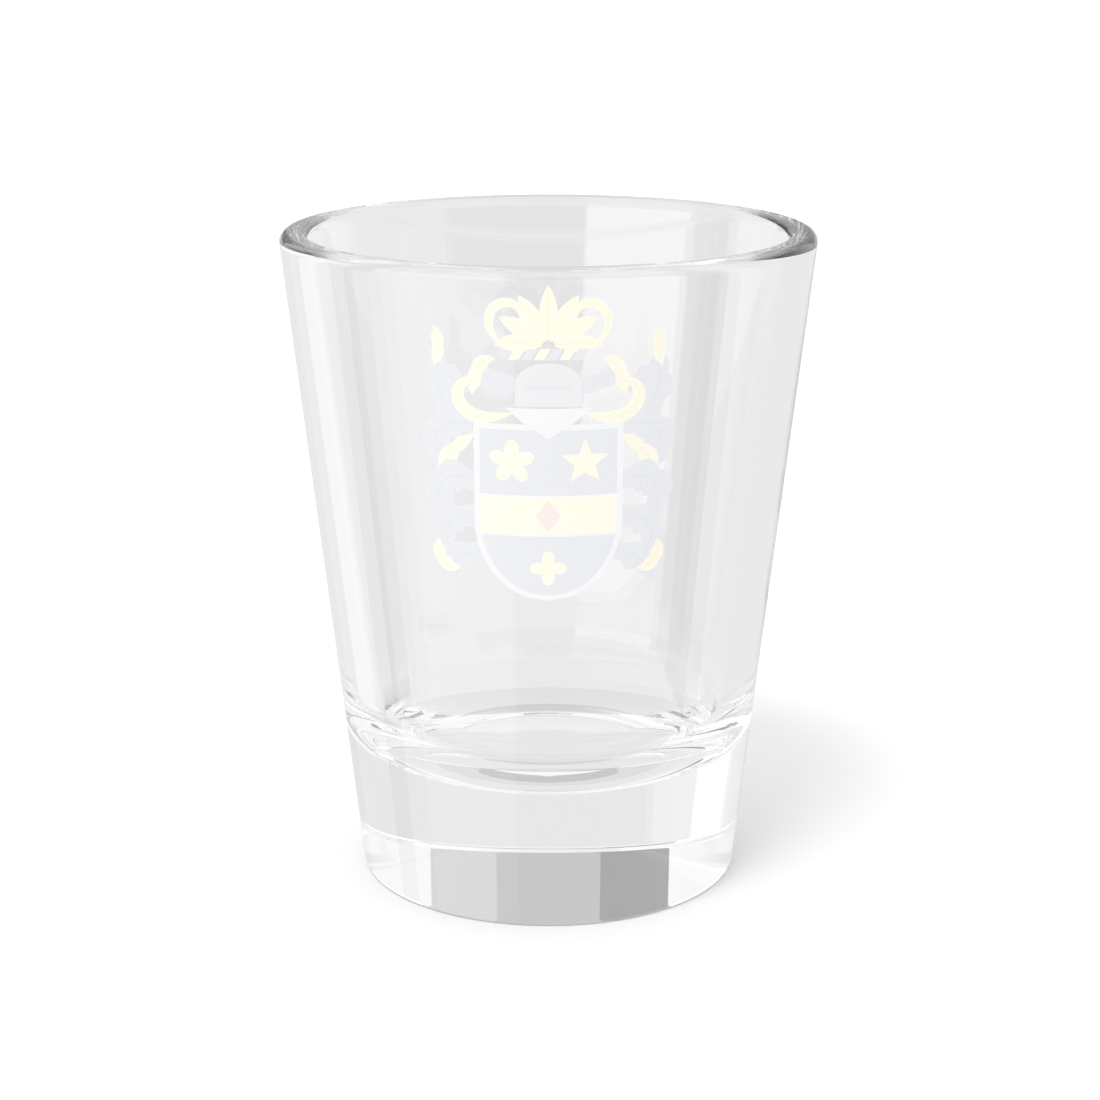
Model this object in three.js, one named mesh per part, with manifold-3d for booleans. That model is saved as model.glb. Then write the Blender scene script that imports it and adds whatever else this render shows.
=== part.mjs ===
// A souvenir shot glass: one pressed glass tumbler with a heavy base, and a heraldic emblem fired onto the
// front of its wall. The emblem is a set of thin enamel islands, one solid for each patch of colour.
// Millimetres, +Z up, origin at the centre of the foot. The emblem faces -Y.

import * as THREE from "three";
import { mergeVertices } from "three/addons/utils/BufferGeometryUtils.js";
import Module from "manifold-3d";

const wasm = await Module();
wasm.setup();

// ---------------------------------------------------------------- driving dimensions

// Glass
const height = 60;
const rimRadius = 24.15; // outside of the wall, carried up to the rim
const footRadius = 17.5; // outside of the wall, carried down to the foot
const footCorner = 0.45; // rounding between the wall and the flat foot
const baseThickness = 11.2; // solid glass under the cavity
const wallAtRim = 2.7;
const wallAtCavityFloor = 2.9; // pressed walls thicken towards the base
const cavityCorner = 8; // rounding between the cavity's wall and its floor
const lipOuterCorner = 0.9;
const lipInnerCorner = 1.1;

// Enamel
const enamelThickness = 0.08;
const enamelStandoff = 0.03; // clearance that keeps the enamel off the faceted glass
const enamelMargin = 0.05; // bare glass left below the lip's rounding and above the foot's
const registerGap = 0.16; // bare glass left between two colours
const emblemDrop = 13.1; // from the rim to the shield's top edge, measured down the slanted wall

// Emblem, laid out flat: u to the viewer's right, v up, zero at the middle of the shield's top edge
const shieldHalfWidth = 6.25;
const shieldHeight = 15.7;
const shieldShoulder = 8.6; // straight length of the shield's sides
const shieldBorder = 0.34;
const bandTop = -6.3;
const bandHeight = 3.5;
const lozengeHalfWidth = 1.05;
const lozengeHalfHeight = 1.45;
const chargeInset = 3.2; // from the shield's side to the middle of each upper charge
const rosetteRadius = 1.95;
const rosetteHollow = 0.49; // radius between two petals, as a share of the whole radius
const starRadius = 2.1;
const starHollow = 0.43;
const quatrefoilRadius = 1.55;
const quatrefoilHollow = 0.39;
const helmHalfWidth = 2.75;
const helmFoot = 1.55;
const helmTop = 5.3;
const helmPoint = 0.65; // how far the helm's foot drops from its cheeks to its middle
const visorHalfWidth = 1.9;
const visorHeight = 0.42;
const collarHalfWidth = 3.5;
const collarPoint = 1.25; // how far the collar's point hangs over the shield
const collarNeck = 0.18; // height at which the collar narrows towards its point
const collarNeckShare = 0.62; // its half width there, as a share of the whole
const torseGap = 0.25;
const torseHalfWidth = 3.1;
const torseHeight = 0.95;
const torseTwists = 6;
const torseLean = 0.28;
const crestLeaves = 7;
const crestLeafLength = 4.7;
const crestLeafHalfWidth = 0.74;
const crestRoot = 0.5; // from the fan's centre to the foot of each leaf
const crestSpread = 156; // degrees from the first crest leaf to the last
const crestShortening = 0.05; // each leaf away from the middle one is shorter by this share
const crestCurl = 8; // degrees that each leaf away from the middle one bends further outwards

// Fineness
const segmentsAround = 96;
const arcSteps = 6;
const spineSteps = 16;

// ---------------------------------------------------------------- wall geometry

const taper = (rimRadius - footRadius) / height;
const halfConeAngle = Math.atan(taper);
const apexZ = -footRadius / taper; // where the wall would close to a point, below the foot
const slantOf = (z) => (z - apexZ) / Math.cos(halfConeAngle);
const emblemSlant = slantOf(height) - emblemDrop;

// The wall is a cone, which unrolls flat, so flat artwork wraps onto it without stretching.
// Gives the point's place as seen straight from the front: x to the right, y upwards.
function wrapped([u, v]) {
  const along = emblemSlant + v;
  const slant = Math.hypot(u, along);
  const turn = Math.atan2(u, along) / Math.sin(halfConeAngle);
  const radius = slant * Math.sin(halfConeAngle);
  return new THREE.Vector2(radius * Math.sin(turn), apexZ + slant * Math.cos(halfConeAngle));
}

// ---------------------------------------------------------------- solids

const upright = (geometry) => geometry.rotateX(Math.PI / 2); // three.js turns and extrudes with +Y up

function solidOf(geometry) {
  const bare = geometry.clone();
  bare.deleteAttribute("normal");
  bare.deleteAttribute("uv");
  const merged = mergeVertices(bare, 1e-4);
  const triVerts = new Uint32Array(merged.index.array);
  const vertProperties = merged.attributes.position.array;
  return new wasm.Manifold(new wasm.Mesh({ numProp: 3, vertProperties, triVerts }));
}

function geometryOf(solid) {
  const mesh = solid.getMesh();
  const geometry = new THREE.BufferGeometry();
  geometry.setAttribute("position", new THREE.BufferAttribute(mesh.vertProperties, 3));
  geometry.setIndex(new THREE.BufferAttribute(mesh.triVerts, 1));
  geometry.computeVertexNormals();
  return geometry;
}

function largestBody(solid) {
  const bodies = solid.decompose();
  return bodies.reduce((best, body) => (body.volume() > best.volume() ? body : best));
}

// Corners given as [radius from the axis, height, rounding]; each rounded corner becomes a tangent arc.
function roundedProfile(corners) {
  const points = [];
  corners.forEach(([r, z, rounding = 0], i) => {
    const corner = new THREE.Vector2(r, z);
    if (!rounding) {
      points.push(corner);
      return;
    }
    const before = new THREE.Vector2(...corners[i - 1]).sub(corner).normalize();
    const after = new THREE.Vector2(...corners[i + 1]).sub(corner).normalize();
    const halfAngle = Math.acos(before.dot(after)) / 2;
    const inward = before.clone().add(after).normalize();
    const centre = corner.clone().addScaledVector(inward, rounding / Math.sin(halfAngle));
    const reach = rounding / Math.tan(halfAngle);
    const first = corner.clone().addScaledVector(before, reach).sub(centre);
    const sweep = Math.PI - 2 * halfAngle;
    const side = Math.sign(before.cross(after)) || 1;
    for (let step = 0; step <= arcSteps; step += 1) {
      const turned = first.clone().rotateAround(new THREE.Vector2(), (-side * sweep * step) / arcSteps);
      points.push(turned.add(centre));
    }
  });
  return points;
}

function glassGeometry() {
  const outsideAtFloor = footRadius + taper * baseThickness;
  const profile = roundedProfile([
    [0, 0],
    [footRadius, 0, footCorner],
    [rimRadius, height, lipOuterCorner],
    [rimRadius - wallAtRim, height, lipInnerCorner],
    [outsideAtFloor - wallAtCavityFloor, baseThickness, cavityCorner],
    [0, baseThickness],
  ]);
  return upright(new THREE.LatheGeometry(profile, segmentsAround));
}

// How far a rounding at the foot or the rim runs down the wall from the sharp corner.
const wallReach = (rounding, halfAngle) => rounding / Math.tan(halfAngle);

// The thin conical skin that every enamel island is cut from. It ends where the wall starts to round over.
function enamelSkin() {
  const inner = enamelStandoff / Math.cos(halfConeAngle);
  const outer = inner + enamelThickness / Math.cos(halfConeAngle);
  const rightAngle = Math.PI / 2;
  const low = enamelMargin + wallReach(footCorner, (rightAngle + halfConeAngle) / 2);
  const high = height - enamelMargin - wallReach(lipOuterCorner, (rightAngle - halfConeAngle) / 2);
  const corner = (z, offset) => new THREE.Vector2(footRadius + taper * z + offset, z);
  const ring = [
    corner(low, inner),
    corner(low, outer),
    corner(high, outer),
    corner(high, inner),
    corner(low, inner),
  ];
  return solidOf(upright(new THREE.LatheGeometry(ring, segmentsAround)));
}

// A prism that cuts an island with this flat outline out of the front of the skin.
function cutter(outline) {
  const shape = new THREE.Shape(outline.map(wrapped));
  const depth = rimRadius + wallAtRim;
  return solidOf(upright(new THREE.ExtrudeGeometry(shape, { depth, bevelEnabled: false })));
}

// ---------------------------------------------------------------- flat outlines

// Every outline is a function of grow, the distance by which it is widened to knock it out of a neighbour.

const radians = THREE.MathUtils.degToRad;

// A spine that starts at (u, v) along heading and turns by turn degrees, faster towards its end.
function spinePoints({ u, v, heading, length, turn, tighten = 1 }, grow) {
  const stride = (length + 2 * grow) / spineSteps;
  const points = [];
  let x = u - grow * Math.cos(radians(heading));
  let y = v - grow * Math.sin(radians(heading));
  for (let step = 0; step <= spineSteps; step += 1) {
    const angle = radians(heading + turn * (step / spineSteps) ** tighten);
    points.push({ x, y, angle });
    x += stride * Math.cos(angle);
    y += stride * Math.sin(angle);
  }
  return points;
}

// A leaf or a scroll: a spine whose width swells and dies away, with lobed edges where it has lobes.
function leaf(spine) {
  const { halfWidth, fullness = 0.8, lobes = 0, lobeDepth = 0.32 } = spine;
  return (grow = 0) => {
    const left = [];
    const right = [];
    spinePoints(spine, grow).forEach(({ x, y, angle }, step) => {
      const t = step / spineSteps;
      if (!grow && (step === 0 || step === spineSteps)) {
        left.push([x, y]);
        return;
      }
      const swell = halfWidth * Math.sin(Math.PI * t) ** fullness;
      const notch = lobes ? lobeDepth * (1 - Math.abs(Math.sin(lobes * Math.PI * t))) : 0;
      const reach = Math.max(swell, 0) * (1 - notch) + grow;
      left.push([x - reach * Math.sin(angle), y + reach * Math.cos(angle)]);
      right.push([x + reach * Math.sin(angle), y - reach * Math.cos(angle)]);
    });
    return [...left, ...right.reverse()];
  };
}

const mirrored = (outline) => (grow) => outline(grow).map(([u, v]) => [-u, v]).reverse();

// Points on part of an ellipse about (u, v), from one angle to another in degrees.
function arc(u, v, reachU, reachV, from, to, steps) {
  return Array.from({ length: steps + 1 }, (_, i) => {
    const angle = radians(from + ((to - from) * i) / steps);
    return [u + reachU * Math.cos(angle), v + reachV * Math.sin(angle)];
  });
}

// A closed outline about (u, v), from a rule that gives the radius at each angle or at each point.
function polar(u, v, steps, radiusAt) {
  return (grow = 0) =>
    Array.from({ length: steps }, (_, i) => {
      const angle = (2 * Math.PI * i) / steps;
      const radius = radiusAt(angle, i) + grow;
      return [u - radius * Math.sin(angle), v + radius * Math.cos(angle)];
    });
}

const star = (u, v, points, radius, hollow) =>
  polar(u, v, 2 * points, (_, i) => (i % 2 ? hollow * radius : radius));

function rosette(u, v, petals, radius, hollow) {
  const bulge = (angle) => Math.abs(Math.cos((petals * angle) / 2));
  return polar(u, v, 8 * petals, (angle) => radius * (hollow + (1 - hollow) * bulge(angle)));
}

function box(left, bottom, right, top) {
  return (grow = 0) => [
    [left - grow, bottom - grow],
    [right + grow, bottom - grow],
    [right + grow, top + grow],
    [left - grow, top + grow],
  ];
}

// A shield: flat top, straight sides and a round foot.
function shield(inset) {
  return (grow = 0) => {
    const half = shieldHalfWidth - inset + grow;
    const foot = shieldHeight - shieldShoulder - inset + grow;
    return [[half, grow - inset], ...arc(0, -shieldShoulder, half, foot, 0, -180, 24), [-half, grow - inset]];
  };
}

// A closed helm: a domed top, straight cheeks and a foot that comes to a shallow point.
function helm(grow = 0) {
  const half = helmHalfWidth + grow;
  const brow = (helmFoot + helmTop) / 2;
  const dome = arc(0, brow, half, helmTop - brow + grow, 0, 180, 16);
  const cheekFoot = helmFoot + helmPoint / 2 - grow;
  return [...dome, [-half, cheekFoot], [0, cheekFoot - helmPoint], [half, cheekFoot]];
}

// A collar that hangs in a point over the top edge of the shield.
function collar(grow = 0) {
  const half = collarHalfWidth + grow;
  const neck = half * collarNeckShare;
  const top = helmFoot - registerGap + grow;
  return [
    [-half, top],
    [-neck, collarNeck - grow],
    [0, -collarPoint - grow],
    [neck, collarNeck - grow],
    [half, top],
  ];
}

// One twist of the wreath under the crest: a leaning block with its own width.
function twist(index) {
  const pitch = (2 * torseHalfWidth) / torseTwists;
  const left = -torseHalfWidth + pitch * index + registerGap / 2;
  const right = left + pitch - registerGap;
  const foot = helmTop + torseGap;
  return (grow = 0) => [
    [left - torseLean - grow, foot - grow],
    [right - torseLean + grow, foot - grow],
    [right + torseLean + grow, foot + torseHeight + grow],
    [left + torseLean - grow, foot + torseHeight + grow],
  ];
}

// One leaf of the fan that stands on the wreath.
function crestLeaf(index) {
  const middle = (crestLeaves - 1) / 2;
  const heading = 90 + (crestSpread * (middle - index)) / (crestLeaves - 1);
  return leaf({
    u: crestRoot * Math.cos(radians(heading)),
    v: helmTop + torseGap + torseHeight + registerGap + crestRoot * Math.sin(radians(heading)),
    heading,
    length: crestLeafLength * (1 - crestShortening * Math.abs(index - middle)),
    turn: crestCurl * (middle - index),
    halfWidth: crestLeafHalfWidth,
  });
}

// ---------------------------------------------------------------- emblem

const colours = {
  glass: { color: 0xf4f8f8, roughness: 0.02, metalness: 0, transparent: true, opacity: 0.3 },
  gold: { color: 0xfffbe0, roughness: 0.35, metalness: 0 },
  azure: { color: 0xe3e6ee, roughness: 0.35, metalness: 0 },
  rose: { color: 0xf8e0da, roughness: 0.35, metalness: 0 },
  silver: { color: 0xf7f7f7, roughness: 0.35, metalness: 0 },
  steel: { color: 0xe9e9ee, roughness: 0.35, metalness: 0 },
};

const side = shieldHalfWidth;
const foot = -shieldHeight;
const cheek = helmHalfWidth;

// Scrolls and leaves on the viewer's right, front ones first; each is mirrored to the left.
// A row gives the name, the colour, where the spine starts, its heading and length, how far it turns and how
// much faster it turns towards its end, half the leaf's width, and the lobes along its edge.
const mantling = [
  ["scroll", "gold", cheek + 0.15, helmFoot - 0.55, -18, 8.6, 262, 2.1, 0.62, 0],
  ["plume", "gold", side + 0.1, 2.3, 96, 4.3, 100, 2.6, 0.72, 2],
  ["low_curl", "gold", side + 3.2, foot + 4.9, -78, 3.7, -125, 1.4, 0.72, 2],
  ["high_tip", "gold", side + 3.4, 4.5, 112, 3.6, -50, 1.2, 0.66, 2],
  ["side_leaf", "azure", side - 1.1, -5.9, 38, 8.1, -225, 1.5, 1.6, 4],
  ["flank_leaf", "gold", side - 0.1, -1, -38, 6.6, -80, 2, 0.8, 3],
  ["shoulder_leaf", "azure", side - 1.1, -0.8, 28, 8.2, -205, 1.5, 1.6, 4],
  ["hip_leaf", "azure", side - 1.3, foot + 7, 16, 7, -190, 1.7, 1.5, 3],
  ["tail_leaf", "azure", side - 1.9, foot + 4.7, -14, 6.4, -70, 2, 1.3, 3],
  ["temple_leaf", "azure", side + 1.6, -0.4, 54, 6.9, 60, 1.2, 1.35, 3],
  ["crown_leaf", "azure", side - 0.3, 2.9, 12, 5.1, 84, 1.9, 1.15, 3],
  ["brow_leaf", "azure", cheek - 0.75, 3.2, 4, 4.4, 30, 1, 0.95, 2],
];

// The thin curl that springs from each end of the wreath.
const tendril = {
  u: torseHalfWidth + 0.2,
  v: helmTop + 1.2,
  heading: 32,
  length: 8.4,
  turn: 300,
  tighten: 1.5,
  halfWidth: 0.42,
};

// The islands from the front layer to the back one: each is knocked out of those after it.
function emblemIslands() {
  const islands = [];
  const add = (group, name, colour, outline, within) =>
    islands.push({ group, name, colour, outline, within });
  const addPair = (group, name, colour, outline) => {
    add(group, `${name}_right`, colour, outline);
    add(group, `${name}_left`, colour, mirrored(outline));
  };
  const field = shield(shieldBorder + registerGap);
  const bandFoot = bandTop - bandHeight;
  const bandMiddle = bandTop - bandHeight / 2;
  const upperMiddle = (bandTop - shieldBorder) / 2;
  const lowerMiddle = (bandFoot - shieldHeight) / 2;
  const chargeSide = shieldHalfWidth - chargeInset;
  const visorMiddle = (helmFoot + helmTop) / 2;
  const beyond = 2 * shieldHalfWidth;
  const lozenge = polar(0, bandMiddle, 4, (_, i) => (i % 2 ? lozengeHalfWidth : lozengeHalfHeight));
  const visor = box(-visorHalfWidth, visorMiddle - visorHeight, visorHalfWidth, visorMiddle);

  add("shield", "shield_lozenge", "rose", lozenge);
  add("shield", "shield_rosette", "gold", rosette(-chargeSide, upperMiddle, 5, rosetteRadius, rosetteHollow));
  add("shield", "shield_star", "gold", star(chargeSide, upperMiddle, 5, starRadius, starHollow));
  add("shield", "shield_quatrefoil", "gold", rosette(0, lowerMiddle, 4, quatrefoilRadius, quatrefoilHollow));
  add("helm", "helm_collar", "silver", collar);
  add("helm", "helm_visor", "azure", visor);
  add("helm", "helm_shell", "steel", helm);
  for (let i = 0; i < torseTwists; i += 1) {
    add("crest", `torse_twist_${i + 1}`, i % 2 ? "azure" : "gold", twist(i));
  }
  for (let i = 0; i < crestLeaves; i += 1) {
    add("crest", `crest_leaf_${i + 1}`, "gold", crestLeaf(i));
  }
  addPair("crest", "crest_tendril", "gold", leaf(tendril));
  add("shield", "shield_band", "gold", box(-beyond, bandFoot, beyond, bandTop), field);
  add("shield", "shield_upper_field", "azure", box(-beyond, bandTop, beyond, 0), field);
  add("shield", "shield_lower_field", "azure", box(-beyond, -shieldHeight, beyond, bandFoot), field);
  add("shield", "shield_border", "silver", shield(0));
  for (const [name, colour, u, v, heading, length, turn, tighten, halfWidth, lobes] of mantling) {
    const outline = leaf({ u, v, heading, length, turn, tighten, halfWidth, lobes });
    addPair("mantling", `mantling_${name}`, colour, outline);
  }
  return islands;
}

// ---------------------------------------------------------------- assembly

const shotGlass = new THREE.Group();
const groups = new Map();

function place(groupName, name, colour, geometry) {
  if (!groups.has(groupName)) {
    groups.set(groupName, new THREE.Group());
    shotGlass.add(groups.get(groupName));
  }
  const mesh = new THREE.Mesh(geometry, new THREE.MeshStandardMaterial(colours[colour]));
  mesh.name = name;
  groups.get(groupName).add(mesh);
}

place("glass", "glass_body", "glass", glassGeometry());

const skin = enamelSkin();
let printed = null; // the islands in front of the one being cut, widened by the register gap
for (const { group, name, colour, outline, within } of emblemIslands()) {
  const prism = (grow) => {
    const whole = cutter(outline(grow));
    return within ? whole.intersect(cutter(within(grow))) : whole;
  };
  const island = skin.intersect(prism(0));
  place(group, name, colour, geometryOf(largestBody(printed ? island.subtract(printed) : island)));
  printed = printed ? printed.add(prism(registerGap)) : prism(registerGap);
}

export default shotGlass;
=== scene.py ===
"""A souvenir shot glass: pressed clear glass with a heavy base, and a heraldic emblem fired onto its wall.

The glass is turned from its profile by Geometry Nodes. Every patch of enamel is a thin film, drawn flat and
then wrapped round the wall, which is a cone and so unrolls without stretching.
"""

import math

import bpy
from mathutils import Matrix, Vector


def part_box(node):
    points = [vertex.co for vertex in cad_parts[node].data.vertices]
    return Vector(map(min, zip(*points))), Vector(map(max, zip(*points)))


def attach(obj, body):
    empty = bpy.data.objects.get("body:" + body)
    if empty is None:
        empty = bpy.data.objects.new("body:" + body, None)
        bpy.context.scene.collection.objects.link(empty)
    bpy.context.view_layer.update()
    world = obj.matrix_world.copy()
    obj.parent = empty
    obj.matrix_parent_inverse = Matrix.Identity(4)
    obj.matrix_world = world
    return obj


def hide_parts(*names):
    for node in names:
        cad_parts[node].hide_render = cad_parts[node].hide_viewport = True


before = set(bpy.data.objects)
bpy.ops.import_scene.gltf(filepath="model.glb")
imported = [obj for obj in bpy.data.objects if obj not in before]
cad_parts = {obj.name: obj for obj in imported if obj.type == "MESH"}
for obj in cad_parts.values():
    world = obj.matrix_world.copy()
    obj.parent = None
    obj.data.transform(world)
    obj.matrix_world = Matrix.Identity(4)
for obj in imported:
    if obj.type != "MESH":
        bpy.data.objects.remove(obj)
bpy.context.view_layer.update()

glass_low, glass_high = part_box("glass_body")

# ---------------------------------------------------------------- sizes

MM = 0.001

HEIGHT = glass_high.z - glass_low.z
RIM_RADIUS = 24.15 * MM  # outside of the wall, carried up to the rim
FOOT_RADIUS = 17.5 * MM  # outside of the wall, carried down to the foot
FOOT_CORNER = 0.45 * MM
BASE_THICKNESS = 11.2 * MM
WALL_AT_RIM = 2.7 * MM
WALL_AT_CAVITY_FLOOR = 2.9 * MM
CAVITY_CORNER = 8.0 * MM
LIP_OUTER_CORNER = 0.9 * MM
LIP_INNER_CORNER = 1.1 * MM

TAPER = (RIM_RADIUS - FOOT_RADIUS) / HEIGHT
HALF_CONE_ANGLE = math.atan(TAPER)
APEX_Z = -FOOT_RADIUS / TAPER
EMBLEM_DROP = 13.1 * MM  # from the rim to the shield's top edge, measured down the slanted wall
EMBLEM_SLANT = (HEIGHT - APEX_Z) / math.cos(HALF_CONE_ANGLE) - EMBLEM_DROP

FILM_STANDOFF = 0.02 * MM
FILM_THICKNESS = 0.03 * MM
LAYER_STEP = 0.006 * MM  # each layer of print lies a little proud of the one under it
SEAM_GAP = 0.0001 * MM  # points of the glass nearer than this are one point
FILM_SEAM_GAP = 0.0005 * MM
STEPS_AROUND = 256
STEPS_ALONG_LEAF = 72
STEPS_ACROSS_LEAF = 10
LEAF_FULLNESS = 0.8  # below 1 a leaf keeps its width nearer to its ends
LOBE_DEPTH = 0.32  # how far the gaps between lobes cut in, as a share of the half width

# The emblem's sizes are in millimetres on its flat drawing: u runs to the viewer's right and v up, from the
# middle of the shield's top edge.
SHIELD_HALF_WIDTH = 6.25
SHIELD_HEIGHT = 15.7
SHIELD_SHOULDER = 8.6  # straight length of the shield's sides
SHIELD_BORDER = 0.34
BAND_TOP = -6.3
BAND_HEIGHT = 3.5
LOZENGE_HALF_WIDTH = 1.05
LOZENGE_HALF_HEIGHT = 1.45
CHARGE_INSET = 3.2  # from the shield's side to the middle of each upper charge
ROSETTE_RADIUS = 1.95
ROSETTE_HOLLOW = 0.49  # radius between two petals, as a share of the whole radius
STAR_RADIUS = 2.1
STAR_HOLLOW = 0.43
QUATREFOIL_RADIUS = 1.55
QUATREFOIL_HOLLOW = 0.39
HELM_HALF_WIDTH = 2.75
HELM_FOOT = 1.55
HELM_TOP = 5.3
VISOR_HALF_WIDTH = 1.9
VISOR_HEIGHT = 0.42
COLLAR_HALF_WIDTH = 3.5
COLLAR_POINT = 1.25  # how far the collar's point hangs over the shield
COLLAR_NECK = 0.18  # height at which the collar narrows towards its point
COLLAR_NECK_SHARE = 0.62
TORSE_GAP = 0.25
TORSE_HALF_WIDTH = 3.1
TORSE_HEIGHT = 0.95
TORSE_TWISTS = 6
TORSE_LEAN = 0.28
CREST_LEAVES = 7
CREST_LEAF_LENGTH = 4.7
CREST_LEAF_HALF_WIDTH = 0.74
CREST_ROOT = 0.5
CREST_SPREAD = 156
CREST_SHORTENING = 0.05
CREST_CURL = 8
REGISTER_GAP = 0.16

SIDE = SHIELD_HALF_WIDTH
FOOT = -SHIELD_HEIGHT
CHEEK = HELM_HALF_WIDTH

# Scrolls and leaves on the viewer's right, front ones first; each is mirrored to the left.
# A row gives the name, the ink, where the spine starts, its heading and length, how far it turns and how much
# faster it turns towards its end, half the leaf's width, and the lobes along its edge.
MANTLING = [
    ("scroll", "gold", CHEEK + 0.15, HELM_FOOT - 0.55, -18, 8.6, 262, 2.1, 0.62, 0),
    ("plume", "gold", SIDE + 0.1, 2.3, 96, 4.3, 100, 2.6, 0.72, 2),
    ("low_curl", "gold", SIDE + 3.2, FOOT + 4.9, -78, 3.7, -125, 1.4, 0.72, 2),
    ("high_tip", "gold", SIDE + 3.4, 4.5, 112, 3.6, -50, 1.2, 0.66, 2),
    ("side_leaf", "azure", SIDE - 1.1, -5.9, 38, 8.1, -225, 1.5, 1.6, 4),
    ("flank_leaf", "gold", SIDE - 0.1, -1, -38, 6.6, -80, 2, 0.8, 3),
    ("shoulder_leaf", "azure", SIDE - 1.1, -0.8, 28, 8.2, -205, 1.5, 1.6, 4),
    ("hip_leaf", "azure", SIDE - 1.3, FOOT + 7, 16, 7, -190, 1.7, 1.5, 3),
    ("tail_leaf", "azure", SIDE - 1.9, FOOT + 4.7, -14, 6.4, -70, 2, 1.3, 3),
    ("temple_leaf", "azure", SIDE + 1.6, -0.4, 54, 6.9, 60, 1.2, 1.35, 3),
    ("crown_leaf", "azure", SIDE - 0.3, 2.9, 12, 5.1, 84, 1.9, 1.15, 3),
    ("brow_leaf", "azure", CHEEK - 0.75, 3.2, 4, 4.4, 30, 1, 0.95, 2),
]
TENDRIL = (TORSE_HALF_WIDTH + 0.2, HELM_TOP + 1.2, 32, 8.4, 300, 1.5, 0.42, 0)

# How many layers of print lie under each part.
MANTLING_LAYERS = 3.2
TENDRIL_LAYER = 3.5
BORDER_LAYER = 5
FIELD_LAYER = 6
CHARGE_LAYER = 7
HELM_LAYER = 8
COLLAR_LAYER = 9

# ---------------------------------------------------------------- node trees


class Wire:
    """A socket of a node tree. Arithmetic on it adds the Math nodes that work it out."""

    def __init__(self, tree, socket):
        self.tree = tree
        self.socket = socket

    def math(self, operation, *others):
        return self.tree.node("ShaderNodeMath", {"operation": operation}, [self, *others])

    def reflected(self, operation, other):
        return self.tree.node("ShaderNodeMath", {"operation": operation}, [other, self])

    def __add__(self, other):
        return self.math("ADD", other)

    def __sub__(self, other):
        return self.math("SUBTRACT", other)

    def __mul__(self, other):
        return self.math("MULTIPLY", other)

    def __truediv__(self, other):
        return self.math("DIVIDE", other)

    def __pow__(self, other):
        return self.math("POWER", other)

    def __radd__(self, other):
        return self.reflected("ADD", other)

    def __rsub__(self, other):
        return self.reflected("SUBTRACT", other)

    def __rmul__(self, other):
        return self.reflected("MULTIPLY", other)

    def __neg__(self):
        return self.reflected("MULTIPLY", -1.0)

    def __abs__(self):
        return self.math("ABSOLUTE")

    def above(self, edge, softness):
        """0 below edge and 1 above it, with a soft step."""
        settings = {"interpolation_type": "SMOOTHSTEP"}
        values = {"Value": self, "From Min": edge - softness, "From Max": edge + softness}
        return self.tree.node("ShaderNodeMapRange", settings, values)


class Tree:
    """A shader or geometry tree that is being written."""

    def __init__(self, tree):
        self.tree = tree

    def node(self, kind, settings=None, values=None, output=0):
        """A node of this type, its settings made first, then its sockets filled with values or wires."""
        made = self.tree.nodes.new(kind)
        for name, value in (settings or {}).items():
            setattr(made, name, value)
        if isinstance(values, list):
            values = dict(enumerate(values))
        for key, value in (values or {}).items():
            if isinstance(value, Wire):
                self.tree.links.new(value.socket, made.inputs[key])
            else:
                made.inputs[key].default_value = value
        return Wire(self, made.outputs[output]) if made.outputs else None

    def outputs(self, wire, *names):
        """Other outputs of the node that a wire comes from."""
        return [Wire(self, wire.socket.node.outputs[name]) for name in names]

    def mix_colour(self, share, first, second):
        return self.node("ShaderNodeMix", {"data_type": "RGBA"}, {0: share, 6: first, 7: second}, output=2)


# ---------------------------------------------------------------- geometry trees


def geometry_tree(name, inputs):
    """A new geometry tree with named inputs; gives the writer and a dictionary of its input wires."""
    tree = bpy.data.node_groups.new(name, "GeometryNodeTree")
    tree.is_modifier = True
    tree.interface.new_socket("Geometry", in_out="INPUT", socket_type="NodeSocketGeometry")
    for label, kind in inputs.items():
        tree.interface.new_socket(label, in_out="INPUT", socket_type="NodeSocket" + kind)
    tree.interface.new_socket("Geometry", in_out="OUTPUT", socket_type="NodeSocketGeometry")
    writer = Tree(tree)
    source = tree.nodes.new("NodeGroupInput")
    wires = {socket.name: Wire(writer, socket) for socket in source.outputs if socket.name}
    return writer, wires


def finish_tree(writer, geometry):
    writer.node("NodeGroupOutput", None, {0: geometry})


def in_place(writer, geometry, x, y, z):
    """Moves each point of the geometry to its own place."""
    position = writer.node("ShaderNodeCombineXYZ", None, [x, y, z])
    return writer.node("GeometryNodeSetPosition", None, {"Geometry": geometry, "Position": position})


def made_by(tree, name, mesh, values):
    """A plain mesh object made by running a geometry tree on a mesh with these input values."""
    carrier = bpy.data.objects.new(name, mesh)
    bpy.context.scene.collection.objects.link(carrier)
    modifier = carrier.modifiers.new("tree", "NODES")
    modifier.node_group = tree
    for item in tree.interface.items_tree:
        if item.in_out == "INPUT" and item.name in values:
            modifier[item.identifier] = values[item.name]
    depsgraph = bpy.context.evaluated_depsgraph_get()
    result = bpy.data.meshes.new_from_object(carrier.evaluated_get(depsgraph), depsgraph=depsgraph)
    carrier.modifiers.clear()
    carrier.data = result
    result.name = name
    drop_empty_slots(result)
    return carrier


def drop_empty_slots(mesh):
    """Leaves only the material slots that hold a material."""
    kept = [i for i, slot in enumerate(mesh.materials) if slot]
    indices = [kept.index(polygon.material_index) for polygon in mesh.polygons]
    for i in reversed(range(len(mesh.materials))):
        if i not in kept:
            mesh.materials.pop(index=i)
    mesh.polygons.foreach_set("material_index", indices)


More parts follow.
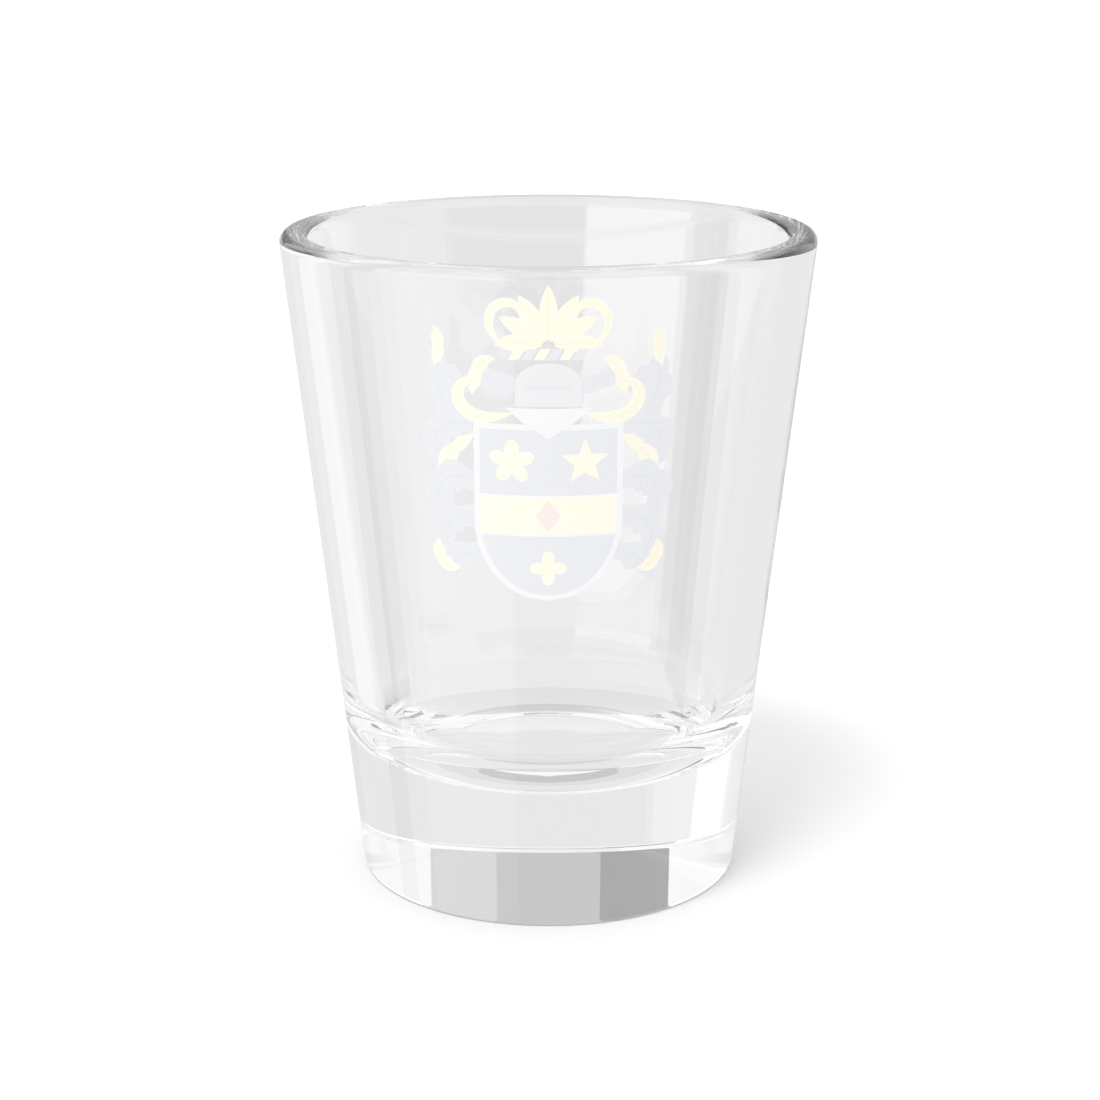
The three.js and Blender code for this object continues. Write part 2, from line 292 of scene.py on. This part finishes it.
def turning_tree():
    """Turns a profile, given as a chain of points with x as radius, round the Z axis into a closed solid."""
    tree, given = geometry_tree("turned_on_axis", {"Steps Around": "Int", "Material": "Material"})
    count = tree.node("GeometryNodeAttributeDomainSize", {"component": "MESH"}, [given["Geometry"]])
    sizes = {"Size X": 1.0, "Size Y": 1.0, "Vertices X": count, "Vertices Y": given["Steps Around"] + 1.0}
    grid = tree.node("GeometryNodeMeshGrid", None, sizes)
    index = tree.node("GeometryNodeInputIndex")
    ring_size = given["Steps Around"] + 1.0
    along = (index / ring_size).math("FLOOR")
    around = index - along * ring_size
    angle = around * (2 * math.pi) / given["Steps Around"]
    profile = tree.node(
        "GeometryNodeSampleIndex",
        {"data_type": "FLOAT_VECTOR", "domain": "POINT"},
        {"Geometry": given["Geometry"], "Value": tree.node("GeometryNodeInputPosition"), "Index": along},
    )
    radius = tree.node("ShaderNodeSeparateXYZ", None, [profile])
    height = tree.outputs(radius, "Z")[0]
    turned = in_place(tree, grid, radius * angle.math("COSINE"), radius * angle.math("SINE"), height)
    closed = tree.node("GeometryNodeMergeByDistance", None, {"Geometry": turned, "Distance": SEAM_GAP})
    outwards = tree.node("GeometryNodeFlipFaces", None, [closed])
    smooth = tree.node("GeometryNodeSetShadeSmooth", None, {"Geometry": outwards})
    solid = tree.node("GeometryNodeRealizeInstances", None, [smooth])
    finish_tree(tree, painted(tree, solid, given["Material"]))
    return tree.tree


def painted(tree, geometry, ink, where=None):
    values = {"Geometry": geometry, "Material": ink, **(where or {})}
    return tree.node("GeometryNodeSetMaterial", None, values)


def wrap_on_wall(tree, flat, given):
    """Wraps a flat sheet, x to the right and y up, round the wall and gives it the thickness of a print."""
    flat_point = tree.node("ShaderNodeSeparateXYZ", None, [tree.node("GeometryNodeInputPosition")])
    across = flat_point * given["Side"]
    along = tree.outputs(flat_point, "Y")[0] + EMBLEM_SLANT
    slant = (across * across + along * along).math("SQRT")
    turn = across.math("ARCTAN2", along) / math.sin(HALF_CONE_ANGLE)

    def lying_at(standoff):
        radius = slant * math.sin(HALF_CONE_ANGLE) + standoff * math.cos(HALF_CONE_ANGLE)
        height = slant * math.cos(HALF_CONE_ANGLE) - standoff * math.sin(HALF_CONE_ANGLE) + APEX_Z
        return in_place(tree, flat, radius * turn.math("SINE"), -(radius * turn.math("COSINE")), height)

    under = lying_at(given["Standoff"])
    thickness = {"Mesh": under, "Offset Scale": FILM_THICKNESS, "Individual": False}
    raised = tree.node("GeometryNodeExtrudeMesh", None, thickness)
    top = tree.outputs(raised, "Top")[0]
    backing = tree.node("GeometryNodeFlipFaces", None, [under])
    sides = painted(tree, raised, given["Underprint"])
    inked = painted(tree, sides, given["Ink"], {"Selection": top})
    back = painted(tree, backing, given["Underprint"])
    join = tree.tree.nodes.new("GeometryNodeJoinGeometry")
    for part in (inked, back):
        tree.tree.links.new(part.socket, join.inputs[0])
    joined = Wire(tree, join.outputs[0])
    closed = tree.node("GeometryNodeMergeByDistance", None, {"Geometry": joined, "Distance": FILM_SEAM_GAP})
    return tree.node("GeometryNodeRealizeInstances", None, [closed])


FILM_INPUTS = {"Side": "Float", "Standoff": "Float", "Ink": "Material", "Underprint": "Material"}


def marked_sheet(tree, sheet, spot):
    """Stores how far along and across a leaf each point lies, as a UV map that the inks read."""
    store = {"data_type": "FLOAT2", "domain": "CORNER"}
    values = {"Geometry": sheet, "Name": "leaf", "Value": spot}
    return tree.node("GeometryNodeStoreNamedAttribute", store, values)


def patch_tree():
    """Fires a flat patch of enamel onto the wall, marked as a leaf's edge is, where no vein is drawn."""
    tree, given = geometry_tree("patch_on_wall", FILM_INPUTS)
    edge = tree.node("ShaderNodeCombineXYZ", None, [0.0, 1.0, 0.0])
    finish_tree(tree, wrap_on_wall(tree, marked_sheet(tree, given["Geometry"], edge), given))
    return tree.tree


def leaf_tree():
    """Draws a leaf or a scroll along a turning spine, and fires it onto the wall."""
    spine_inputs = ["U", "V", "Heading", "Length", "Turn", "Tighten"]
    edge_inputs = ["Half Width", "Fullness", "Lobes", "Lobe Depth"]
    sizes = dict.fromkeys(spine_inputs + edge_inputs, "Float")
    tree, given = geometry_tree("leaf_on_wall", {**sizes, **FILM_INPUTS})
    corners = {"Vertices X": STEPS_ALONG_LEAF + 1, "Vertices Y": STEPS_ACROSS_LEAF + 1}
    grid = tree.node("GeometryNodeMeshGrid", None, {"Size X": 1.0, "Size Y": 1.0, **corners})
    grid_x = tree.node("ShaderNodeSeparateXYZ", None, [tree.node("GeometryNodeInputPosition")])
    grid_y = tree.outputs(grid_x, "Y")[0]
    along = grid_x + 0.5
    across = grid_y * 2.0
    spot = tree.node("ShaderNodeCombineXYZ", None, [along, across, 0.0])
    marked = marked_sheet(tree, grid, spot)
    angle = given["Heading"] + given["Turn"] * along ** given["Tighten"]
    stride = given["Length"] / float(STEPS_ALONG_LEAF)
    row = (grid_y * STEPS_ACROSS_LEAF).math("ROUND")
    spine = []
    for start, direction in ((given["U"], "COSINE"), (given["V"], "SINE")):
        step = angle.math(direction) * stride
        steps = {"Value": step, "Group Index": row}
        total = tree.node("GeometryNodeAccumulateField", {"data_type": "FLOAT"}, steps, output=1)
        spine.append(start + total)
    swell = (along * math.pi).math("SINE").math("MAXIMUM", 0.0) ** given["Fullness"]
    notch = given["Lobe Depth"] * (1.0 - abs((given["Lobes"] * math.pi * along).math("SINE")))
    reach = given["Half Width"] * swell * (1.0 - notch) * across * given["Side"]
    x = spine[0] - reach * angle.math("SINE")
    y = spine[1] + reach * angle.math("COSINE")
    flat = in_place(tree, marked, x, y, 0.0)
    finish_tree(tree, wrap_on_wall(tree, flat, given))
    return tree.tree


# ---------------------------------------------------------------- materials

GLASS_IOR = 1.52
SMEAR_ROUGHNESS = 0.006
WAVE_HEIGHT = 0.05 * MM
GRAIN_HEIGHT = 0.01 * MM
MOTTLE = 0.12
VEIN_DEPTH = 0.75
VEIN_HALF_WIDTH = 0.07  # this and the reach are shares of the leaf's half width
VEIN_REACH = 0.72
VEINS_ALONG = 60.0
VEIN_SLANT = 6.0
SIDE_VEIN_SHARE = 0.6


def material(name):
    """A new material, with a writer for its nodes and its shader."""
    made = bpy.data.materials.new(name)
    made.use_nodes = True
    tree = Tree(made.node_tree)
    shader = made.node_tree.nodes["Principled BSDF"]
    return made, tree, shader


def feed(tree, shader, **wires):
    for socket, wire in wires.items():
        tree.tree.links.new(wire.socket, shader.inputs[socket.replace("_", " ")])


def clear_glass():
    """Pressed soda glass with faint waves in its surface and a few patches that are a little less bright."""
    made, tree, shader = material("pressed_glass")
    shader.inputs["Base Color"].default_value = (1.0, 1.0, 1.0, 1.0)
    shader.inputs["Transmission Weight"].default_value = 1.0
    shader.inputs["IOR"].default_value = GLASS_IOR
    place = tree.node("ShaderNodeTexCoord", output="Object")
    smears = tree.node("ShaderNodeTexNoise", None, {"Vector": place, "Scale": 60.0, "Detail": 4.0})
    feed(tree, shader, Roughness=smears.above(0.62, 0.1) * SMEAR_ROUGHNESS)
    drift = tree.node("ShaderNodeMapping", None, {"Vector": place, "Scale": (1.0, 1.0, 0.45)})
    waves = tree.node("ShaderNodeTexNoise", None, {"Vector": drift, "Scale": 90.0, "Detail": 1.0})
    bump = {"Strength": 0.05, "Distance": WAVE_HEIGHT, "Height": waves}
    feed(tree, shader, Normal=tree.node("ShaderNodeBump", None, bump))
    return made


def leaf_veins(tree):
    """1 where a leaf's middle vein or a side vein is drawn, 0 elsewhere, from the leaf's own UV map."""
    spot = tree.node("ShaderNodeUVMap", {"uv_map": "leaf"})
    along = tree.node("ShaderNodeSeparateXYZ", None, [spot])
    across = abs(tree.outputs(along, "Y")[0])
    middle_vein = 1.0 - across.above(VEIN_HALF_WIDTH, 0.05)
    waves = (along * VEINS_ALONG - across * VEIN_SLANT).math("SINE")
    inside = 1.0 - across.above(VEIN_REACH, 0.15)
    side_veins = waves.above(0.72, 0.2) * inside
    return (middle_vein + side_veins * SIDE_VEIN_SHARE).math("MINIMUM", 1.0)


def enamel(name, colour, shade, shine=0.32):
    """Fired enamel: a grainy screen print, a little darker where a vein is drawn."""
    made, tree, shader = material(name)
    place = tree.node("ShaderNodeTexCoord", output="Object")
    grain = tree.node("ShaderNodeTexNoise", None, {"Vector": place, "Scale": 9000.0, "Detail": 2.0})
    cloud = tree.node("ShaderNodeTexNoise", None, {"Vector": place, "Scale": 500.0, "Detail": 3.0})
    tone = (cloud * 0.6 + grain * 0.4).above(0.5, 0.25)
    inked = tree.mix_colour(leaf_veins(tree) * VEIN_DEPTH, (*colour, 1.0), (*shade, 1.0))
    mottled = tree.mix_colour(tone * MOTTLE, inked, (*shade, 1.0))
    feed(tree, shader, Base_Color=mottled, Roughness=shine + 0.1 * tone)
    bump = {"Strength": 0.25, "Distance": GRAIN_HEIGHT, "Height": grain}
    feed(tree, shader, Normal=tree.node("ShaderNodeBump", None, bump))
    return made


# ---------------------------------------------------------------- flat patches


def patch_mesh(name, rows, closed=False):
    """A sheet of quads through rows of points; closed joins each row's end to its start."""
    width = len(rows[0])
    points = [(u * MM, v * MM, 0.0) for row in rows for u, v in row]
    faces = []
    for r in range(len(rows) - 1):
        for c in range(width if closed else width - 1):
            right = (c + 1) % width
            faces.append((r * width + c, r * width + right, (r + 1) * width + right, (r + 1) * width + c))
    mesh = bpy.data.meshes.new(name)
    mesh.from_pydata(points, [], faces)
    return mesh


def between(first, last, count):
    """Evenly spaced values from first to last, with count gaps between them."""
    return [first + (last - first) * i / count for i in range(count + 1)]


def ruled(name, bottom, top, half_width, rows=24, columns=32, lean=0.0):
    """A patch that fills from side to side at each height, from a rule for its half width."""
    middle = (bottom + top) / 2
    sheet = []
    for v in between(bottom, top, rows):
        half = half_width(v)
        sheet.append([(half * share + lean * (v - middle), v) for share in between(-1.0, 1.0, columns)])
    return patch_mesh(name, sheet)


def starlike(name, u, v, radius_at, steps, rings=6):
    """A patch about a point, from a rule for its radius at each angle."""
    sheet = []
    for share in between(1.0, 0.02, rings):
        ring = []
        for step in range(steps):
            angle = 2 * math.pi * step / steps
            reach = share * radius_at(angle)
            ring.append((u + reach * math.sin(angle), v + reach * math.cos(angle)))
        sheet.append(ring[::-1])
    return patch_mesh(name, sheet, closed=True)


def shield_half_width(inset):
    """The shield's half width at each height: straight sides, then a round foot."""
    half = SHIELD_HALF_WIDTH - inset
    foot = SHIELD_HEIGHT - SHIELD_SHOULDER - inset

    def rule(v):
        below = max(0.0, -SHIELD_SHOULDER - v)
        return half * math.sqrt(max(0.0, 1 - (below / foot) ** 2))

    return rule


# ---------------------------------------------------------------- pieces

glass_material = clear_glass()
INKS = {
    "gold": enamel("gold_enamel", (0.89, 0.86, 0.745), (0.84, 0.79, 0.60)),
    "azure": enamel("azure_enamel", (0.733, 0.741, 0.768), (0.69, 0.703, 0.74)),
    "rose": enamel("rose_enamel", (0.86, 0.755, 0.725), (0.81, 0.68, 0.64)),
    "silver": enamel("silver_enamel", (0.825, 0.825, 0.83), (0.755, 0.76, 0.775)),
    "steel": enamel("steel_enamel", (0.765, 0.765, 0.777), (0.70, 0.704, 0.72)),
}
UNDERPRINT = enamel("white_underprint", (0.93, 0.93, 0.93), (0.89, 0.89, 0.89), shine=0.5)
TURNED = turning_tree()
PATCH = patch_tree()
LEAF = leaf_tree()


def settle(piece, node):
    """Puts a finished piece on the frame in place of its CAD node."""
    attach(piece, "root")
    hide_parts(node)
    return piece


def film_values(ink, layer, side=1.0):
    """What every film of print is given. A side of -1 mirrors it to the viewer's left."""
    standoff = FILM_STANDOFF + LAYER_STEP * layer
    return {"Side": side, "Standoff": standoff, "Ink": INKS[ink], "Underprint": UNDERPRINT}


def patch(node, ink, layer, mesh):
    piece = made_by(PATCH, "print_" + node, mesh, film_values(ink, layer))
    return settle(piece, node)


def leaf(node, ink, layer, spine, side=1.0):
    u, v, heading, length, turn, tighten, half_width, lobes = spine
    values = {
        "U": u * MM,
        "V": v * MM,
        "Heading": math.radians(heading),
        "Length": length * MM,
        "Turn": math.radians(turn),
        "Tighten": float(tighten),
        "Half Width": half_width * MM,
        "Fullness": LEAF_FULLNESS,
        "Lobes": float(lobes),
        "Lobe Depth": LOBE_DEPTH if lobes else 0.0,
        **film_values(ink, layer, side),
    }
    piece = made_by(LEAF, "print_" + node, bpy.data.meshes.new("print_" + node), values)
    return settle(piece, node)


def rounded_profile(corners, arc_steps=20, support=0.12 * MM):
    """Points down a profile of corners (radius, height, rounding), with rounded ones as tangent arcs."""
    points = []
    for i, (r, z, rounding) in enumerate(corners):
        if not rounding:
            points.append((r, 0.0, z))
            continue
        before = unit(corners[i - 1], corners[i])
        after = unit(corners[i + 1], corners[i])
        half_angle = math.acos(before[0] * after[0] + before[1] * after[1]) / 2
        reach = rounding / math.tan(half_angle)
        inward = unit((before[0] + after[0], before[1] + after[1]), (0.0, 0.0))
        depth = rounding / math.sin(half_angle)
        centre = (r + inward[0] * depth, z + inward[1] * depth)
        first = math.atan2(z + before[1] * reach - centre[1], r + before[0] * reach - centre[0])
        side = 1.0 if before[0] * after[1] - before[1] * after[0] > 0 else -1.0
        sweep = -side * (math.pi - 2 * half_angle)
        points.append((r + before[0] * (reach + support), 0.0, z + before[1] * (reach + support)))
        for step in range(arc_steps + 1):
            angle = first + sweep * step / arc_steps
            offset = (rounding * math.cos(angle), rounding * math.sin(angle))
            points.append((centre[0] + offset[0], 0.0, centre[1] + offset[1]))
        points.append((r + after[0] * (reach + support), 0.0, z + after[1] * (reach + support)))
    return points


def unit(point, origin):
    """The direction from origin to point, of length 1."""
    x = point[0] - origin[0]
    z = point[1] - origin[1]
    size = math.hypot(x, z)
    return x / size, z / size


def make_glass():
    outside_at_floor = FOOT_RADIUS + TAPER * BASE_THICKNESS
    profile = rounded_profile([
        (0.0, 0.0, 0.0),
        (FOOT_RADIUS, 0.0, FOOT_CORNER),
        (RIM_RADIUS, HEIGHT, LIP_OUTER_CORNER),
        (RIM_RADIUS - WALL_AT_RIM, HEIGHT, LIP_INNER_CORNER),
        (outside_at_floor - WALL_AT_CAVITY_FLOOR, BASE_THICKNESS, CAVITY_CORNER),
        (0.0, BASE_THICKNESS, 0.0),
    ])
    chain = bpy.data.meshes.new("glass_profile")
    chain.from_pydata(profile, [(i, i + 1) for i in range(len(profile) - 1)], [])
    values = {"Steps Around": STEPS_AROUND, "Material": glass_material}
    return settle(made_by(TURNED, "turned_glass", chain, values), "glass_body")


def make_shield():
    inset = SHIELD_BORDER + REGISTER_GAP
    field = shield_half_width(inset)
    band_foot = BAND_TOP - BAND_HEIGHT
    band_middle = BAND_TOP - BAND_HEIGHT / 2
    upper_middle = (BAND_TOP - SHIELD_BORDER) / 2
    lower_middle = (band_foot - SHIELD_HEIGHT) / 2
    charge_side = SHIELD_HALF_WIDTH - CHARGE_INSET
    half_gap = REGISTER_GAP / 2
    border = ruled("border", -SHIELD_HEIGHT, 0.0, shield_half_width(0.0), rows=64)
    patch("shield_border", "silver", BORDER_LAYER, border)
    upper = ruled("upper", BAND_TOP + half_gap, -inset, field)
    patch("shield_upper_field", "azure", FIELD_LAYER, upper)
    lower = ruled("lower", inset - SHIELD_HEIGHT, band_foot - half_gap, field, rows=48)
    patch("shield_lower_field", "azure", FIELD_LAYER, lower)
    band = ruled("band", band_foot + half_gap, BAND_TOP - half_gap, field)
    patch("shield_band", "gold", FIELD_LAYER, band)
    lozenge_foot, lozenge_top = band_middle - LOZENGE_HALF_HEIGHT, band_middle + LOZENGE_HALF_HEIGHT
    lozenge = ruled("lozenge", lozenge_foot, lozenge_top, lozenge_half_width(band_middle), columns=8)
    patch("shield_lozenge", "rose", CHARGE_LAYER, lozenge)
    petals = petal_rule(5, ROSETTE_RADIUS, ROSETTE_HOLLOW)
    rosette = starlike("rosette", -charge_side, upper_middle, petals, 120)
    patch("shield_rosette", "gold", CHARGE_LAYER, rosette)
    petals = petal_rule(4, QUATREFOIL_RADIUS, QUATREFOIL_HOLLOW)
    quatrefoil = starlike("quatrefoil", 0.0, lower_middle, petals, 96)
    patch("shield_quatrefoil", "gold", CHARGE_LAYER, quatrefoil)
    points = star_rule(5, STAR_RADIUS, STAR_RADIUS * STAR_HOLLOW)
    star = starlike("star", charge_side, upper_middle, points, 120)
    patch("shield_star", "gold", CHARGE_LAYER, star)


def lozenge_half_width(middle):
    return lambda v: LOZENGE_HALF_WIDTH * (1 - abs(v - middle) / LOZENGE_HALF_HEIGHT)


def petal_rule(petals, radius, hollow):
    """The radius of a round-petalled flower at each angle."""
    return lambda angle: radius * (hollow + (1 - hollow) * abs(math.cos(petals * angle / 2)))


def star_rule(points, outer, inner):
    """The radius of a straight-sided star at each angle."""
    half = math.pi / points

    def rule(angle):
        offset = abs((angle + half) % (2 * half) - half)
        tip = (outer, 0.0)
        notch = (inner * math.cos(half), inner * math.sin(half))
        run = (notch[0] - tip[0], notch[1] - tip[1])
        bearing = (math.cos(offset), math.sin(offset))
        return (tip[0] * run[1] - tip[1] * run[0]) / (bearing[0] * run[1] - bearing[1] * run[0])

    return rule


def make_helm():
    brow = (HELM_FOOT + HELM_TOP) / 2
    collar_top = HELM_FOOT - REGISTER_GAP

    def dome(v):
        return HELM_HALF_WIDTH * math.sqrt(max(0.0, 1 - (max(0.0, v - brow) / (HELM_TOP - brow)) ** 2))

    def collar(v):
        if v < COLLAR_NECK:
            return COLLAR_HALF_WIDTH * COLLAR_NECK_SHARE * (v + COLLAR_POINT) / (COLLAR_NECK + COLLAR_POINT)
        rise = (v - COLLAR_NECK) / (collar_top - COLLAR_NECK)
        return COLLAR_HALF_WIDTH * (COLLAR_NECK_SHARE + (1 - COLLAR_NECK_SHARE) * rise)

    shell = ruled("shell", HELM_FOOT, HELM_TOP, dome, rows=40)
    patch("helm_shell", "steel", HELM_LAYER, shell)
    visor = ruled("visor", brow - VISOR_HEIGHT, brow, lambda v: VISOR_HALF_WIDTH, rows=4)
    patch("helm_visor", "azure", COLLAR_LAYER, visor)
    neck_guard = ruled("collar", -COLLAR_POINT, collar_top, collar, rows=32)
    patch("helm_collar", "silver", COLLAR_LAYER, neck_guard)


def make_crest():
    foot = HELM_TOP + TORSE_GAP
    pitch = 2 * TORSE_HALF_WIDTH / TORSE_TWISTS
    half = (pitch - REGISTER_GAP) / 2
    lean = 2 * TORSE_LEAN / TORSE_HEIGHT
    for i in range(TORSE_TWISTS):
        block = ruled("twist", foot, foot + TORSE_HEIGHT, lambda v: half, 8, 8, lean)
        for vertex in block.vertices:
            vertex.co.x += (pitch * (i + 0.5) - TORSE_HALF_WIDTH) * MM
        patch(f"torse_twist_{i + 1}", "azure" if i % 2 else "gold", HELM_LAYER, block)
    centre = (CREST_LEAVES - 1) / 2
    root = foot + TORSE_HEIGHT + REGISTER_GAP
    for i in range(CREST_LEAVES):
        away = abs(i - centre)
        heading = 90 + CREST_SPREAD * (centre - i) / (CREST_LEAVES - 1)
        u = CREST_ROOT * math.cos(math.radians(heading))
        v = root + CREST_ROOT * math.sin(math.radians(heading))
        length = CREST_LEAF_LENGTH * (1 - CREST_SHORTENING * away)
        spine = (u, v, heading, length, CREST_CURL * (centre - i), 1, CREST_LEAF_HALF_WIDTH, 0)
        leaf(f"crest_leaf_{i + 1}", "gold", CHARGE_LAYER - away, spine)
    leaf("crest_tendril_right", "gold", TENDRIL_LAYER, TENDRIL)
    leaf("crest_tendril_left", "gold", TENDRIL_LAYER, TENDRIL, side=-1.0)


def make_mantling():
    for order, (name, ink, *spine) in enumerate(MANTLING):
        layer = MANTLING_LAYERS * (1 - order / len(MANTLING))
        leaf(f"mantling_{name}_right", ink, layer, spine)
        leaf(f"mantling_{name}_left", ink, layer, spine, side=-1.0)


make_glass()
make_shield()
make_helm()
make_crest()
make_mantling()

# ---------------------------------------------------------------- studio


def camera():
    """Looks slightly down on the glass, square to the emblem."""
    distance = 230.6 * MM
    elevation = math.radians(15.43)
    aim = 30.02 * MM
    data = bpy.data.cameras.new("camera")
    data.lens = 81.3
    data.sensor_width = 36.0
    data.shift_x = 0.0014
    view = bpy.data.objects.new("camera", data)
    bpy.context.scene.collection.objects.link(view)
    view.location = (0.0, -distance * math.cos(elevation), aim + distance * math.sin(elevation))
    view.rotation_euler = (math.pi / 2 - elevation, 0.0, 0.0)
    bpy.context.scene.camera = view


# Cards seen only in the glass. Azimuths run clockwise as seen from above and start straight behind the glass,
# so the camera stands at 180. A row gives the card's name, how bright it is, its azimuths and its elevations.
ROOM_LIGHT = 0.95
CARD_DISTANCE = 2.0
CARDS = [
    ("backdrop", 0.82, (-35, 88), (-32, -4.5)),
    ("floor_behind", 0.8, (-75, 68), (-48, -32)),
    ("floor_close_behind", 0.72, (-100, 100), (-65, -48)),
    ("floor_below", 0.55, (-100, 100), (-88, -65)),
    ("wall_behind_left", 0.36, (-30, -11), (4, 36)),
    ("wall_behind", 0.54, (-11, 11), (4, 36)),
    ("wall_behind_right", 0.66, (11, 29), (4, 36)),
    ("side_behind_right", 1.4, (31, 64), (-2, 18)),
    ("camera_side", 0.35, (128, 198), (3.5, 26)),
    ("window_front_left", 2.1, (199, 256), (-4.5, 14)),
    ("low_front_left", 1.35, (199, 256), (-46, -5)),
    ("curtain_front_left", 0.42, (257, 270), (-12, 12)),
    ("curtain_left", 0.3, (271, 286), (-46, 4)),
    ("window_back_left", 1.35, (287, 331), (-4, 20)),
    ("room_right", 0.25, (90, 114), (-28, -16)),
]
BOUNCES = 64  # light that runs down inside the wall turns many times before it leaves the glass


def direction(azimuth, elevation):
    """The direction from the glass towards an azimuth and an elevation in degrees."""
    a, e = math.radians(azimuth), math.radians(elevation)
    return math.sin(a) * math.cos(e), math.cos(a) * math.cos(e), math.sin(e)


def glowing(name, radiance):
    made = bpy.data.materials.new(name)
    made.use_nodes = True
    made.node_tree.nodes.clear()
    tree = Tree(made.node_tree)
    light = tree.node("ShaderNodeEmission", None, {"Color": (radiance, radiance, radiance, 1.0)})
    tree.node("ShaderNodeOutputMaterial", None, [light])
    made.cycles.emission_sampling = "NONE"
    return made


def card(name, radiance, azimuths, elevations, columns=24, rows=12):
    """Part of a sphere round the glass, unseen by the camera, with no light or shadow on the floor."""
    points = []
    for elevation in between(*elevations, rows):
        for azimuth in between(*azimuths, columns):
            points.append([CARD_DISTANCE * part for part in direction(azimuth, elevation)])
    width = columns + 1
    starts = [r * width + c for r in range(rows) for c in range(columns)]
    mesh = bpy.data.meshes.new(name)
    mesh.from_pydata(points, [], [(i, i + 1, i + width + 1, i + width) for i in starts])
    mesh.materials.append(glowing(name, radiance))
    made = bpy.data.objects.new(name, mesh)
    bpy.context.scene.collection.objects.link(made)
    made.visible_camera = False
    made.visible_diffuse = False
    made.visible_shadow = False


def paper_floor():
    """White paper, far too wide for its edge to be seen. The glass shows the room's light in its place."""
    reach = 3.0
    drop = 0.05 * MM  # below the foot, so that the two surfaces never coincide
    corners = [(-reach, -reach), (reach, -reach), (reach, reach), (-reach, reach)]
    mesh = bpy.data.meshes.new("floor")
    mesh.from_pydata([(x, y, -drop) for x, y in corners], [], [(0, 1, 2, 3)])
    paper, _, shader = material("white_paper")
    shader.inputs["Base Color"].default_value = (0.9, 0.9, 0.9, 1.0)
    shader.inputs["Roughness"].default_value = 0.9
    shader.inputs["Specular IOR Level"].default_value = 0.0
    mesh.materials.append(paper)
    floor = bpy.data.objects.new("floor", mesh)
    bpy.context.scene.collection.objects.link(floor)
    floor.visible_transmission = False
    floor.visible_glossy = False


def distant_lamp(name, azimuth, elevation, strength, softness, shadow=True):
    """A broad far lamp for the paper and the print, not seen in the glass, so shadows keep soft edges."""
    lamp = bpy.data.lights.new(name, "SUN")
    lamp.energy = strength
    lamp.angle = math.radians(softness)
    lamp.use_shadow = shadow
    made = bpy.data.objects.new(name, lamp)
    bpy.context.scene.collection.objects.link(made)
    made.location = direction(azimuth, elevation)
    made.rotation_euler = (math.radians(90 - elevation), 0.0, math.radians(180 - azimuth))
    made.visible_glossy = False
    made.visible_transmission = False


def studio():
    scene = bpy.context.scene
    scene.view_settings.view_transform = "Standard"
    world = bpy.data.worlds.new("room")
    scene.world = world
    world.use_nodes = True
    world.node_tree.nodes["Background"].inputs["Color"].default_value = (1.0, 1.0, 1.0, 1.0)
    world.node_tree.nodes["Background"].inputs["Strength"].default_value = ROOM_LIGHT
    scene.cycles.max_bounces = BOUNCES
    scene.cycles.glossy_bounces = BOUNCES
    scene.cycles.transmission_bounces = BOUNCES
    paper_floor()
    for row in CARDS:
        card(*row)
    distant_lamp("key_light", azimuth=207, elevation=62, strength=1.02, softness=20)
    distant_lamp("fill_light", azimuth=180, elevation=90, strength=0.24, softness=0, shadow=False)


camera()
studio()
